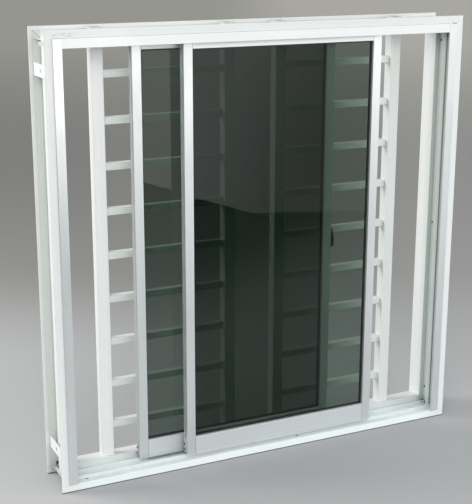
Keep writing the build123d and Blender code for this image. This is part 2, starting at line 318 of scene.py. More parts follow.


# Painted shade and painted light on zones of the surround: shade in the sash pockets, at the fin's root, in
# the side channels and along the foot; light on the fin's front and the sill's face; the tracks darker and
# bluer
# A zone starts and ends on each axis: nothing, full, still full, nothing; two values are an end alone
zoneSet = {
    "frontFace": -0.0655,       # y of the front flange, where depth starts
    "zones": {
        # painted shade in the rear pocket, on its back wall and its floor, and in the front pocket behind the
        # plate
        "pocketWall": {"tint": (0.69, 0.75, 0.72, 1),       # back of the rear pocket
                       "across": (0.5706, 0.5712, 0.5838, 0.5844),
                       "depth": (0.0766, 0.0772, 0.0803, 0.0809)},
        "pocketFloor": {"tint": (0.70, 0.75, 0.72, 1),      # of the rear pocket, towards that wall
                        "across": (0.5784, 0.579, 0.5838, 0.5844),
                        "depth": (0.047, 0.074, 0.0772, 0.0778)},
        "frontPocket": {"tint": (0.71, 0.755, 0.73, 1),     # behind the plate
                        "across": (0.5789, 0.5795, 0.5838, 0.5844),
                        "depth": (0.0018, 0.0022, 0.0428, 0.0432)},
        # painted light on the fin's front, painted shade at its root
        "finFront": {"tint": (1.16, 1.17, 1.16, 1),         # wall between the pockets
                     "across": (0.5675, 0.5685, 0.5810, 0.5820),
                     "depth": (0.0416, 0.0420, 0.0432, 0.0436)},
        "finRoot": {"tint": (0.50, 0.53, 0.51, 1),
                    "across": (0.5805, 0.5815, 0.5838, 0.5848),
                    "depth": (0.0385, 0.0395, 0.0428, 0.0438)},
        # the tracks darker and bluer
        "track": {"tint": (0.89, 0.92, 0.935, 1),
                  "up": (0.0182, 0.019, 0.0462, 0.0470),
                  "depth": (0.002, 0.003, 0.0785, 0.0795)},
        # painted shade inside the side channels, with the greener tone of the thinner coat there
        "sideChannel": {"tint": (0.885, 0.905, 0.88, 1),
                        "across": (0.5707, 0.5712, 0.5950, 0.5955),
                        "up": (1.189, 1.1896),
                        "depth": (0.0812, 0.0818, 0.1335, 0.1341)},
        # painted light on the sill's front face
        "sillFace": {"tint": (1.13, 1.16, 1.17, 1),
                     "across": (0.50, 0.60),
                     "up": (0.0222, 0.0226)},
        # painted contact shadow along the foot
        "foot": {"tint": (0.16, 0.165, 0.165, 1),
                 "up": (0.0022, 0.0036)},
    },
}


def inZone(tree, values, zone):         # 1 inside the zone, from its entry for each axis
    shares = []
    for axis in ("across", "up", "depth"):
        if axis not in zone:
            continue
        ends = zone[axis]
        if len(ends) == 4:
            shares.append(mapRange(tree, values[axis], *ends[:2], 0.0, 1.0))
        shares.append(mapRange(tree, values[axis], *ends[-2:], 1.0, 0.0))
    return times(tree, *shares)


def surroundAxes(tree, place, face):    # across counts from the middle, depth from the front flange
    axes = axesOf(tree, place)
    return {
        "x": axes["X"],
        "across": math2(tree, "ABSOLUTE", axes["X"], 0.0),
        "depth": math2(tree, "SUBTRACT", axes["Y"], face),
        "up": axes["Z"],
    }


def paintedShadeAndLightGroup(cfg):
    tree, start, end = newGroup("paintedShadeAndLight", [("Color", "NodeSocketColor", None)],
                                [("Color", "NodeSocketColor")])
    values = surroundAxes(tree, ownPlace(tree), cfg["frontFace"])
    color = start.outputs["Color"]
    for zone in cfg["zones"].values():
        # each zone multiplies in its tint: painted shade, painted light, or the tracks' darker tone
        color = mixColor(tree, "MULTIPLY", inZone(tree, values, zone), color, zone["tint"])
    tree.links.new(color, end.inputs["Color"])
    return tree


# Specks and smears in the corners: speckled darkening towards the pocket tops and feet, painted shade at the
# feet of the side channels, sealant wiped on the front
grimeAndShadeSet = {
    "tint": (0.26, 0.285, 0.27, 1),
    "fleckScale": 420.0,
    "fleck": (0.50, 0.62),
    "spots": {                  # "grow" is two heights and the amount at each
        # pocketTop and pocketFoot darken the rear pockets towards their top and their foot, speckled
        "pocketTop": {"grow": (1.135, 1.165, 0.0, 0.45),
                      "across": (0.5699, 0.5705, 0.5838, 0.5844),
                      "depth": (0.0436, 0.0442, 0.0803, 0.0809)},
        # painted shade, speckled, at the feet of the side channels
        "channelFoot": {"grow": (0.016, 0.060, 0.9, 0.0),
                        "across": (0.5706, 0.5712, 0.5930, 0.5936),
                        "depth": (0.0990, 0.1050, 0.1335, 0.1395)},
        "pocketFoot": {"grow": (0.024, 0.046, 1.0, 0.0),
                       "across": (0.5610, 0.5640, 0.5838, 0.5868),
                       "depth": (0.0436, 0.0442, 0.0803, 0.0809)},
    },
    "smearTint": (0.80, 0.82, 0.815, 1),
    "smearScale": (60.0, 60.0, 260.0),
    "smear": (0.48, 0.62),
    "smearX": (-0.575, -0.532, 0.012),      # the front's upper left corner
    "smearUp": (1.181, 1.190, 0.003),
    "smearFace": (0.0003, 0.0008),
}


def cornerGrimeAndShadeGroup(cfg, face):
    tree, start, end = newGroup("cornerGrimeAndShade", [("Color", "NodeSocketColor", None)],
                                [("Color", "NodeSocketColor")])
    place = ownPlace(tree)
    values = surroundAxes(tree, place, face)
    fleck = noiseValue(tree, place, cfg["fleckScale"], 3.0, 0.6)
    fleck = mapRange(tree, fleck, *cfg["fleck"], 0.0, 1.0)
    # speckled darkening: painted shade at the channel feet, darkening in the pockets
    darkened = 0.0
    for spot in cfg["spots"].values():
        amount = times(tree, mapRange(tree, values["up"], *spot["grow"]), inZone(tree, values, spot))
        darkened = math2(tree, "ADD", darkened, amount)
    color = mixColor(tree, "MULTIPLY", times(tree, darkened, fleck), start.outputs["Color"], cfg["tint"])
    streak = noiseValue(tree, stretched(tree, place, cfg["smearScale"]), 1.0, 2.0)
    smear = mapRange(tree, streak, *cfg["smear"], 0.0, 1.0)
    corner = times(tree, band(tree, values["x"], *cfg["smearX"]), band(tree, values["up"], *cfg["smearUp"]))
    front = mapRange(tree, values["depth"], *cfg["smearFace"], 1.0, 0.0)
    wiped = times(tree, corner, front, smear)
    tree.links.new(mixColor(tree, "MULTIPLY", wiped, color, cfg["smearTint"]), end.inputs["Color"])
    return tree


# Faint draw lines along the extrusions
lineSet = {
    "level": (2.0, 320.0, 320.0),
    "upright": (320.0, 320.0, 2.0),
    "show": (0.42, 0.70),
    "tint": (0.55, 0.60, 0.58, 1),
}


def drawLinesGroup(cfg):
    tree, start, end = newGroup(
        "drawLines",
        [("Color", "NodeSocketColor", None), ("Upright", "NodeSocketFloat", 1.0),
         ("Amount", "NodeSocketFloat", 0.1)],
        [("Color", "NodeSocketColor")])
    place = ownPlace(tree)
    pick = addNode(tree, "ShaderNodeMix")
    tree.links.new(start.outputs["Upright"], pick.inputs[0])
    for entry, way in ((2, "level"), (3, "upright")):
        line = noiseValue(tree, stretched(tree, place, cfg[way]), 1.0, 2.0)
        tree.links.new(line, pick.inputs[entry])
    mask = times(tree, mapRange(tree, pick.outputs[0], *cfg["show"], 0.0, 1.0), start.outputs["Amount"])
    tree.links.new(mixColor(tree, "MULTIPLY", mask, start.outputs["Color"], cfg["tint"]), end.inputs["Color"])
    return tree


powderCoat = powderCoatGroup(paintSet)
settledDust = settledDustGroup(dustSet)
paintedShadeAndLight = paintedShadeAndLightGroup(zoneSet)
cornerGrimeAndShade = cornerGrimeAndShadeGroup(grimeAndShadeSet, zoneSet["frontFace"])
drawLines = drawLinesGroup(lineSet)
print("shader groups made")

# Coats: "rise" is painted light that brightens a coat towards the top, "upright" says which way its draw
# lines run
coatSet = {
    "frame_coat": {"tint": (0.80, 0.82, 0.812, 1), "shade": (0.77, 0.80, 0.79, 1),
                   "dust": 0.15, "metal": 0.0, "lines": 0.10, "upright": 1},
    "sash_coat": {"tint": (0.73, 0.765, 0.765, 1), "shade": (0.69, 0.73, 0.735, 1),
                  "dust": 0.2, "metal": 0.65, "lines": 0.12, "upright": 1, "rise": (1.03, 1.0, 0.98, 1)},
    # a copy of sash_coat with stronger painted light towards the top, for the left stop and the front sash's
    # right stile
    "sash_coat_painted_light": {"tint": (0.73, 0.765, 0.765, 1), "shade": (0.69, 0.73, 0.735, 1),
                  "dust": 0.2, "metal": 0.65, "lines": 0.12, "upright": 1, "rise": (1.22, 1.17, 1.15, 1)},
    # the bottom rails: a copy of sash_coat with level draw lines, made lighter and less metallic as painted
    # light
    "rail_coat_painted_light": {"tint": (0.75, 0.785, 0.79, 1), "shade": (0.71, 0.75, 0.76, 1),
                  "dust": 0.2, "metal": 0.5, "lines": 0.12, "upright": 0},
    # the top rails: a copy with level draw lines, made near white and hardly metallic as painted light
    # against the head's shadow
    "top_rail_painted_light": {"tint": (0.93, 0.935, 0.93, 1), "shade": (0.91, 0.92, 0.915, 1),
                 "dust": 0.1, "metal": 0.1, "lines": 0.08, "upright": 0},
    # the head stop: its own satin coat with level draw lines, made whiter than the frame's as painted light
    "head_stop_painted_light": {"tint": (0.865, 0.87, 0.865, 1), "shade": (0.835, 0.845, 0.84, 1),
                  "dust": 0.1, "metal": 0.15, "lines": 0.10, "upright": 0},
    "grille_coat": {"tint": (0.82, 0.835, 0.82, 1), "shade": (0.79, 0.81, 0.79, 1),
                    "dust": 0.2, "metal": 0.0, "lines": 0.15, "upright": 1},
    # the bars: a darker copy of grille_coat, painted shade
    "bar_coat": {"tint": (0.75, 0.785, 0.76, 1), "shade": (0.71, 0.75, 0.72, 1),
                 "dust": 0.15, "metal": 0.0, "lines": 0.12, "upright": 0},
    # the right ladder's bars: a brighter copy of bar_coat with painted light towards the top
    "near_coat": {"tint": (0.82, 0.84, 0.82, 1), "shade": (0.79, 0.815, 0.79, 1),
                  "dust": 0.15, "metal": 0.0, "lines": 0.12, "upright": 0, "rise": (1.14, 1.14, 1.14, 1)},
    "anchor_coat": {"tint": (0.86, 0.87, 0.86, 1), "shade": (0.82, 0.83, 0.82, 1),
                    "dust": 0.15, "metal": 0.0, "lines": 0.0, "upright": 1},
}
coatShape = {
    "riseAt": (0.65, 1.12),
    "postTop": (1.171, 1.174),          # the posts' open tops lie in the shade
    "postShade": (0.74, 0.76, 0.75, 1),
    "jambAt": (0.560, 0.570),           # further out, the surround's lines run upright
    "edge": 0.0008,
    "grain": 0.12,
    "grainDeep": 0.0003,
}


def coatMaterial(name, cfg, shape):
    coat = bpy.data.materials.new(name)
    coat.use_nodes = True
    tree = coat.node_tree
    skin = tree.nodes["Principled BSDF"]
    skin.inputs["Metallic"].default_value = cfg["metal"]
    paint = addNode(tree, "ShaderNodeGroup", node_tree=powderCoat)
    paint.inputs["Tint"].default_value = cfg["tint"]
    paint.inputs["Shade"].default_value = cfg["shade"]
    dust = addNode(tree, "ShaderNodeGroup", node_tree=settledDust)
    dust.inputs["Dust"].default_value = dustSet["color"]
    dust.inputs["Amount"].default_value = cfg["dust"]
    lines = addNode(tree, "ShaderNodeGroup", node_tree=drawLines)
    lines.inputs["Amount"].default_value = cfg["lines"]
    tree.links.new(paint.outputs["Color"], lines.inputs["Color"])
    tint = lines.outputs["Color"]
    axes = axesOf(tree, ownPlace(tree))
    lines.inputs["Upright"].default_value = cfg["upright"]
    # painted light: the coat brightens towards the top
    if "rise" in cfg:
        paintedTopLight = mapRange(tree, axes["Z"], *shape["riseAt"], 0.0, 1.0)
        tint = mixColor(tree, "MULTIPLY", paintedTopLight, tint, cfg["rise"])
    if name == "grille_coat":
        top = mapRange(tree, axes["Z"], *shape["postTop"], 0.0, 1.0)
        tint = mixColor(tree, "MULTIPLY", top, tint, shape["postShade"])
    if name == "frame_coat":
        wide = math2(tree, "ABSOLUTE", axes["X"], 0.0)
        tree.links.new(mapRange(tree, wide, *shape["jambAt"], 0.0, 1.0), lines.inputs["Upright"])
        for group in (paintedShadeAndLight, cornerGrimeAndShade):
            zone = addNode(tree, "ShaderNodeGroup", node_tree=group)
            tree.links.new(tint, zone.inputs["Color"])
            tint = zone.outputs["Color"]
    tree.links.new(tint, dust.inputs["Color"])
    tree.links.new(dust.outputs["Color"], skin.inputs["Base Color"])
    rough = math2(tree, "ADD", paint.outputs["Roughness"], dust.outputs["Mask"])
    tree.links.new(rough, skin.inputs["Roughness"])
    edge = addNode(tree, "ShaderNodeBevel", samples=4)
    edge.inputs["Radius"].default_value = shape["edge"]
    bump = addNode(tree, "ShaderNodeBump")
    bump.inputs["Strength"].default_value = shape["grain"]
    bump.inputs["Distance"].default_value = shape["grainDeep"]
    tree.links.new(paint.outputs["Height"], bump.inputs["Height"])
    tree.links.new(edge.outputs["Normal"], bump.inputs["Normal"])
    tree.links.new(bump.outputs["Normal"], skin.inputs["Normal"])
    return coat


glassSet = {
    "frontTint": (0.240, 0.292, 0.263, 1),  # of the whole pane
    # the rear pane takes a darker copy of the same smoked tint, as painted shade
    "rearTintShaded": (0.182, 0.22, 0.198, 1),
    "lampTint": (0.66, 0.74, 0.70, 1),      # what the lamps' light keeps behind a pane
    "shine": (0.50, 0.51, 0.49, 1),
    "bend": 1.5,
}


def smokedGlass(name, tint, cfg):
    glass = bpy.data.materials.new(name)
    glass.use_nodes = True
    tree = glass.node_tree
    skin = tree.nodes["Principled BSDF"]
    skin.inputs["Base Color"].default_value = tint
    skin.inputs["Transmission Weight"].default_value = 1.0
    skin.inputs["IOR"].default_value = cfg["bend"]
    skin.inputs["Roughness"].default_value = 0.0
    skin.inputs["Specular Tint"].default_value = cfg["shine"]
    path = addNode(tree, "ShaderNodeLightPath")
    clear = addNode(tree, "ShaderNodeBsdfTransparent")
    clear.inputs["Color"].default_value = cfg["lampTint"]
    mix = addNode(tree, "ShaderNodeMixShader")
    tree.links.new(path.outputs["Is Shadow Ray"], mix.inputs[0])
    tree.links.new(skin.outputs["BSDF"], mix.inputs[1])
    tree.links.new(clear.outputs["BSDF"], mix.inputs[2])
    tree.links.new(mix.outputs["Shader"], tree.nodes["Material Output"].inputs["Surface"])
    return glass


# Rubber, nylon and sealant; steel; brush fibre
smallSet = {
    "darkScale": 60.0,
    "darkLift": 2.2,                    # how much paler the worn spots are
    "metal": 0.85,
    "metalScale": 900.0,
    "metalLift": 1.6,
    "strandScale": 2600.0,
    "strandStretch": (0.3, 1.0, 1.0),   # fibres stand along X
    "strandBump": 0.6,
    "strandDeep": 0.0004,
}


def paleBy(color, lift):
    return tuple(min(1.0, lift * c) for c in color[:3]) + (1,)


def darkMaterial(name, color, rough):
    dark = bpy.data.materials.new(name)
    dark.use_nodes = True
    tree = dark.node_tree
    skin = tree.nodes["Principled BSDF"]
    place = ownPlace(tree)
    cloud = noiseValue(tree, place, smallSet["darkScale"], 4.0)
    worn = mapRange(tree, cloud, 0.4, 0.75, 0.0, 1.0)
    shade = mixColor(tree, "MIX", worn, color, paleBy(color, smallSet["darkLift"]))
    tree.links.new(shade, skin.inputs["Base Color"])
    tree.links.new(mapRange(tree, cloud, 0.3, 0.7, rough, rough + 0.15), skin.inputs["Roughness"])
    return dark


def metalMaterial(name, color, rough):
    metal = bpy.data.materials.new(name)
    metal.use_nodes = True
    tree = metal.node_tree
    skin = tree.nodes["Principled BSDF"]
    skin.inputs["Metallic"].default_value = smallSet["metal"]
    place = ownPlace(tree)
    cloud = noiseValue(tree, place, smallSet["metalScale"], 3.0)
    worn = mapRange(tree, cloud, 0.45, 0.7, 0.0, 1.0)
    shade = mixColor(tree, "MIX", worn, color, paleBy(color, smallSet["metalLift"]))
    tree.links.new(shade, skin.inputs["Base Color"])
    tree.links.new(mapRange(tree, cloud, 0.3, 0.7, rough - 0.06, rough + 0.12), skin.inputs["Roughness"])
    return metal


def fibreMaterial(name, root, tip):
    fibre = bpy.data.materials.new(name)
    fibre.use_nodes = True
    tree = fibre.node_tree
    skin = tree.nodes["Principled BSDF"]
    place = ownPlace(tree)
    strand = noiseValue(tree, stretched(tree, place, smallSet["strandStretch"]), smallSet["strandScale"], 2.0)
    shade = mixColor(tree, "MIX", mapRange(tree, strand, 0.35, 0.65, 0.0, 1.0), root, tip)
    tree.links.new(shade, skin.inputs["Base Color"])
    tree.links.new(mapRange(tree, strand, 0.3, 0.7, 0.8, 0.95), skin.inputs["Roughness"])
    bump = addNode(tree, "ShaderNodeBump")
    bump.inputs["Strength"].default_value = smallSet["strandBump"]
    bump.inputs["Distance"].default_value = smallSet["strandDeep"]
    tree.links.new(strand, bump.inputs["Height"])
    tree.links.new(bump.outputs["Normal"], skin.inputs["Normal"])
    return fibre


finishes = {slot: coatMaterial(slot, cfg, coatShape) for slot, cfg in coatSet.items()}
finishes["smoked_glass"] = smokedGlass("frontGlass", glassSet["frontTint"], glassSet)
finishes["rear_glass"] = smokedGlass("rearGlass", glassSet["rearTintShaded"], glassSet)
finishes["gasket"] = darkMaterial("gasketRubber", (0.012, 0.014, 0.014, 1), 0.55)
finishes["roller"] = darkMaterial("rollerNylon", (0.03, 0.03, 0.03, 1), 0.4)
finishes["latch"] = darkMaterial("latchNylon", (0.02, 0.021, 0.021, 1), 0.4)

ownFinish = {                   # by the end of the node's name, where it isn't the record's slot
    "bottom_rail": "rail_coat_painted_light",
    "top_rail": "top_rail_painted_light",
    "head_stop": "head_stop_painted_light",
    "left_stop": "sash_coat_painted_light",
    "front_sash_right_stile": "sash_coat_painted_light",
    "rear_sash_glass": "rear_glass",
}
for part in frame["record"]["subparts"]:
    slot = part["material_slot"]
    for ending, own in ownFinish.items():
        slot = own if part["node"].endswith(ending) else slot
    if part["node"].startswith("right_bar"):    # painted light: the right ladder's bars take a brighter copy of bar_coat
        slot = "near_coat"
    nodes[part["node"]].material_slots[0].material = finishes[slot]
print("finishes given to the nodes")

# Modelling helpers
def only(piece):
    bpy.ops.object.select_all(action="DESELECT")
    piece.select_set(True)
    bpy.context.view_layer.objects.active = piece


def openEdit(kind):
    bpy.ops.object.mode_set(mode="EDIT")
    bpy.ops.mesh.select_mode(type=kind)
    bpy.ops.mesh.select_all(action="DESELECT")
    bpy.ops.object.mode_set(mode="OBJECT")


def pickFaces(piece, test):      # test gets a face's middle and normal
    openEdit("FACE")
    for face in piece.data.polygons:
        face.select = bool(test(face.center, face.normal))
    bpy.ops.object.mode_set(mode="EDIT")


def pickEdges(piece, test):      # test gets an edge's two ends
    openEdit("EDGE")
    points = piece.data.vertices
    for edge in piece.data.edges:
        edge.select = bool(test(points[edge.vertices[0]].co, points[edge.vertices[1]].co))
    bpy.ops.object.mode_set(mode="EDIT")


def pickPoints(piece, test):
    openEdit("VERT")
    for point in piece.data.vertices:
        point.select = bool(test(point.co))
    bpy.ops.object.mode_set(mode="EDIT")


def closeEdit():
    bpy.ops.object.mode_set(mode="OBJECT")


def startBlock(low, high):       # a cube between two corners
    low, high = Vector(low), Vector(high)
    bpy.ops.object.select_all(action="DESELECT")
    bpy.ops.mesh.primitive_cube_add(size=1, location=(low + high) / 2, scale=high - low)
    bpy.ops.object.transform_apply(location=True, rotation=True, scale=True)
    return bpy.context.object


def roundEdges(piece, offset, segments=2):
    pickEdges(piece, lambda a, b: True)
    bpy.ops.mesh.bevel(offset=offset, segments=segments)
    closeEdit()


def facing(direction):           # turn that takes +Z to the direction
    return Vector(direction).to_track_quat("Z", "Y").to_euler()


def copyTo(source, places):      # one copy, with its own mesh, at each place and turn
    copies = []
    for point, turn in places:
        only(source)
        bpy.ops.object.duplicate(linked=False)
        twin = bpy.context.object
        twin.location = point
        twin.rotation_euler = turn
        copies.append(twin)
    return copies


def discard(piece):
    only(piece)
    bpy.ops.object.delete()


def joinAs(name, parts, body, finish, angle=35):
    only(parts[0])
    for part in parts:
        part.select_set(True)
    if len(parts) > 1:
        bpy.ops.object.join()
    bpy.ops.object.transform_apply(location=True, rotation=True, scale=True)
    bpy.ops.object.shade_smooth_by_angle(angle=math.radians(angle))
    piece = bpy.context.object
    piece.name = name
    piece.data.name = name
    piece.data.materials.clear()
    piece.data.materials.append(finish)
    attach(piece, body)
    bpy.ops.object.select_all(action="DESELECT")
    return piece


frontFace = zoneSet["frontFace"]
sides = (("left", -1), ("right", 1))
sashes = (("front_sash", "frontSash"), ("rear_sash", "rearSash"))

# Pan-head screws with a cross recess
screwSet = {
    "radius": 0.0030,
    "height": 0.0018,
    "crown": 0.0011,
    "recess": (0.0040, 0.0009, 0.0011),     # length, width, depth
    "stileBack": 0.008,                     # behind the middle of the stile
    "stileHeights": (0.012, 0.028, -0.016), # from the stile's foot, or down from its top
    "jambDepth": 0.070,
    "jambReach": 0.583,
    "jambHeights": (0.072, 0.594, 1.128),
    "endReach": 0.5775,                     # on the plugs at the ends of the sill's chamber
    "endDepth": 0.113,
    "endHeight": 0.030,
}


def makeScrew(cfg):
    radius, height = cfg["radius"], cfg["height"]
    bpy.ops.mesh.primitive_cylinder_add(vertices=20, radius=radius, depth=height, location=(0, 0, height / 2))
    screw = bpy.context.object
    bpy.ops.object.transform_apply(location=True, rotation=True, scale=True)
    pickEdges(screw, lambda a, b: min(a.z, b.z) > 0.9 * height)
    bpy.ops.mesh.bevel(offset=cfg["crown"], segments=3)
    closeEdit()
    long, wide, deep = cfg["recess"]
    for size in ((long, wide), (wide, long)):
        cutter = startBlock((-size[0] / 2, -size[1] / 2, height - deep),
                            (size[0] / 2, size[1] / 2, height + deep))
        only(screw)
        cut = screw.modifiers.new("recess", "BOOLEAN")
        cut.object = cutter
        bpy.ops.object.modifier_apply(modifier="recess")
        discard(cutter)
    return screw


def addScrews(cfg):
    screw = makeScrew(cfg)
    for body, label in sashes:
        places = []
        for side, sign in sides:
            low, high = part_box(f"{body}_{side}_stile")
            face = low.x if sign < 0 else high.x
            for lift in cfg["stileHeights"]:
                z = low.z + lift if lift > 0 else high.z + lift
                places.append(((face, (low.y + high.y) / 2 + cfg["stileBack"], z), facing((sign, 0, 0))))
        joinAs(label + "Screws", copyTo(screw, places), body, darkScrew)
    places = []
    for side, sign in sides:
        for z in cfg["jambHeights"]:
            places.append(((sign * cfg["jambReach"], frontFace + cfg["jambDepth"], z), facing((-sign, 0, 0))))
    joinAs("jambScrews", copyTo(screw, places), "frame", darkScrew)
    places = [((sign * cfg["endReach"], frontFace + cfg["endDepth"], cfg["endHeight"]), facing((sign, 0, 0)))
              for side, sign in sides]
    joinAs("sillEndScrews", copyTo(screw, places), "frame", zincSteel)
    discard(screw)


# Brush pile in the outer grooves of the stiles
pileSet = {
    "grooveDeep": 0.003,
    "backWidth": 0.0084,
    "backThick": 0.0009,
    "shoulder": 0.0018,
    "reach": 0.0034,
    "taper": 0.55,
    "foot": 0.048,
    "top": 0.026,
    "cuts": 150,
    "fray": 0.0005,
}


def makePile(cfg, node, sign, seed):
    low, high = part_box(node)
    root = (low.x if sign < 0 else high.x) - sign * cfg["grooveDeep"]
    y = (low.y + high.y) / 2
    ends = sorted((root, root + sign * cfg["backThick"]))
    pile = startBlock((ends[0], y - cfg["backWidth"] / 2, low.z + cfg["foot"]),
                      (ends[1], y + cfg["backWidth"] / 2, high.z - cfg["top"]))
    pickFaces(pile, lambda place, normal: normal.x * sign > 0.9)
    bpy.ops.mesh.inset(thickness=cfg["shoulder"])
    bpy.ops.mesh.extrude_region_move(TRANSFORM_OT_translate={"value": (sign * cfg["reach"], 0, 0)})
    bpy.ops.transform.resize(value=(1, cfg["taper"], 1))
    pickEdges(pile, lambda a, b: abs(a.z - b.z) > 0.5)
    bpy.ops.mesh.subdivide(number_cuts=cfg["cuts"])
    pickPoints(pile, lambda p: (p.x - root) * sign > cfg["backThick"] + 0.9 * cfg["reach"])
    bpy.ops.transform.vertex_random(offset=cfg["fray"], uniform=1.0, seed=seed)
    closeEdit()
    return pile


def addPiles(cfg):
    for body, label in sashes:
        parts = [makePile(cfg, f"{body}_{side}_stile", sign, 3 + sign) for side, sign in sides]
        # the rear sash's pile takes a paler copy of the fibre, painted light on its stile sides
        joinAs(label + "Pile", parts, body, pileFibre if body == "front_sash" else pileFibrePaintedLight, 60)


# Sill brush under the rear sash: a dark strip in the gap over the track that also stands for the shade in
# that gap
brushSet = {
    "setBack": 0.0016,
    "thick": 0.0018,
    "drop": 0.0048,
    "short": 0.002,          # at each end of the rail
    "bury": 0.0006,          # into the rail
    "flare": 1.5,
    "cuts": 120,
    "fray": 0.0005,
}


def addSillBrush(cfg):
    low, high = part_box("rear_sash_bottom_rail")
    front = low.y + cfg["setBack"]
    brush = startBlock((low.x + cfg["short"], front, low.z - cfg["drop"]),
                       (high.x - cfg["short"], front + cfg["thick"], low.z + cfg["bury"]))
    pickFaces(brush, lambda place, normal: normal.z < -0.9)
    bpy.ops.transform.resize(value=(1, cfg["flare"], 1))
    pickEdges(brush, lambda a, b: abs(a.x - b.x) > 0.3)
    bpy.ops.mesh.subdivide(number_cuts=cfg["cuts"])
    pickPoints(brush, lambda p: p.z < low.z - 0.8 * cfg["drop"])
    bpy.ops.transform.vertex_random(offset=cfg["fray"], uniform=1.0, seed=7)
    closeEdit()
    joinAs("rearSashBrush", [brush], "rear_sash", darkFibre, 60)


# Black sealant in the lower corners of the rear sash pockets
sealSet = {
    "radius": 0.0042,
    "reach": 0.5808,
    "height": 0.0236,
    "depths": (0.0455, 0.0775),
    "cuts": 9,
    "lump": 0.0016,
}


def addCornerSeals(cfg):
    near, far = cfg["depths"]
    parts = []
    for side, sign in sides:
        bpy.ops.mesh.primitive_cylinder_add(
            vertices=8, radius=cfg["radius"], depth=far - near, rotation=(math.pi / 2, 0, 0),
            location=(sign * cfg["reach"], frontFace + (near + far) / 2, cfg["height"]))
        seal = bpy.context.object
        bpy.ops.object.transform_apply(location=True, rotation=True, scale=True)
        pickEdges(seal, lambda a, b: abs(a.y - b.y) > 0.01)
        bpy.ops.mesh.subdivide(number_cuts=cfg["cuts"])
        bpy.ops.mesh.select_all(action="SELECT")
        bpy.ops.transform.vertex_random(offset=cfg["lump"], uniform=1.0, seed=5 + sign)
        closeEdit()
        smooth = seal.modifiers.new("smooth", "SUBSURF")
        smooth.levels = smooth.render_levels = 2
        bpy.ops.object.modifier_apply(modifier="smooth")
        parts.append(seal)
    joinAs("cornerSeals", parts, "frame", blackSealantAndShade, 60)


# Painted shade where the bars go into the posts: dark grey marks just below the ends of the bars
barShadeSet = {
    "size": (0.0008, 0.0024, 0.0062),
    "drop": 0.0020,          # below the middle of the bar
    "ahead": 0.0012,         # in front of the bar's face
    "round": 0.0003,
}


def addBarEndShade(cfg):
    half = Vector(cfg["size"]) / 2
    socket = startBlock(-half, half)
    pickEdges(socket, lambda a, b: abs(a.x - b.x) > half.x)
    bpy.ops.mesh.bevel(offset=half.y * 0.9, segments=4)
    closeEdit()
    roundEdges(socket, cfg["round"], 1)
    places = []
    for side, sign in sides:
        for bar in range(1, 10):
            low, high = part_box(f"{side}_bar_{bar}")
            z = (low.z + high.z) / 2 - cfg["drop"]
            for x in (low.x, high.x):
                places.append(((x, low.y - cfg["ahead"], z), (0, 0, 0)))
    joinAs("barEndShade", copyTo(socket, places), "frame", gapShadeGrey)
    discard(socket)


# Thin seams: mitres of the rear flange and stiles against rails; at the ends and edges of the stops, strips
# of painted shadow in the gaps
seamSet = {
    "width": 0.0007,
    "proud": 0.00025,
    "mitreOuter": (0.5925, 1.1906),
    "mitreInner": (0.5708, 1.1703),
    "flangeDepth": 0.132,
    "stopLine": 0.0005,
    "stopEnd": 0.0016,
    "endShare": 0.45,        # the right stop's end gap is open over the outer part
    "round": 0.0001,
    "sashHalf": 0.0003,      # half the width of a seam on the sashes
    "sashProud": 0.0001,
    "sashShort": 0.0006,
    "sashRound": 0.00008,
}


def addSeams(cfg):
    outer, inner = Vector(cfg["mitreOuter"]), Vector(cfg["mitreInner"])
    half = Vector(((outer - inner).length / 2, cfg["proud"], cfg["width"] / 2))
    strip = startBlock(-half, half)
    roundEdges(strip, cfg["proud"] * 0.8)
    slope = math.atan2(outer.y - inner.y, outer.x - inner.x)
    middle = (outer + inner) / 2
    y = frontFace + cfg["flangeDepth"]
    mitres = copyTo(strip, [((sign * middle.x, y, middle.y), (0, -sign * slope, 0)) for side, sign in sides])
    discard(strip)
    # painted shadow in the stops' gaps: grey strips at their ends and edges, a dark one over the right stop's
    # open end
    line, end, proud = cfg["stopLine"], cfg["stopEnd"], cfg["proud"]
    pale, dark = [], []
    for side, sign in sides:
        low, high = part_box(side + "_stop")
        near = high.y - 3 * proud
        far = high.y + proud
        pale.append(startBlock((low.x, near, low.z - end), (high.x, far, low.z)))
        if side == "left":
            pale.append(startBlock((low.x, near, high.z), (high.x, far, high.z + end / 2)))
            continue
        pale.append(startBlock((high.x, high.y - proud, low.z), (high.x + line, far, high.z)))
        openFrom = low.x + cfg["endShare"] * (high.x - low.x)
        dark.append(startBlock((openFrom, near, high.z), (high.x, far, high.z + end)))
    low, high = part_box("head_stop")
    pale.append(startBlock((low.x, high.y - proud, high.z), (high.x, high.y + proud, high.z + line)))
    for part in pale + dark:
        roundEdges(part, cfg["round"], 1)
    joinAs("frameSeamsAndGapShade", mitres + dark, "frame", seamShadow)
    joinAs("stopGapShade", pale, "frame", gapShadeGrey)


def addSashSeams(cfg):
    half, proud, short = cfg["sashHalf"], cfg["sashProud"], cfg["sashShort"]
    for body, label in sashes:
        parts = []
        for rail in ("bottom_rail", "top_rail"):
            low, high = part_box(f"{body}_{rail}")
            for side, sign in sides:
                stileLow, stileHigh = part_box(f"{body}_{side}_stile")
                x = stileHigh.x if sign < 0 else stileLow.x
                for y in (stileLow.y, stileHigh.y):
                    part = startBlock((x - half, y - proud, low.z + short),
                                      (x + half, y + proud, high.z - short))
                    roundEdges(part, cfg["sashRound"], 1)
                    parts.append(part)
        joinAs(label + "Seams", parts, body, seamShadow)


# Black plugs in the ends of the sill's chamber, painted shade of the chamber's inside
plugSet = {
    "reach": (0.559, 0.5775),
    "depths": (0.0825, 0.1305),
    "heights": (0.0224, 0.0398),
    "fall": 0.0070,          # of the top, towards the back
    "round": 0.0012,
    "cuts": 5,
    "rough": 0.0006,
}


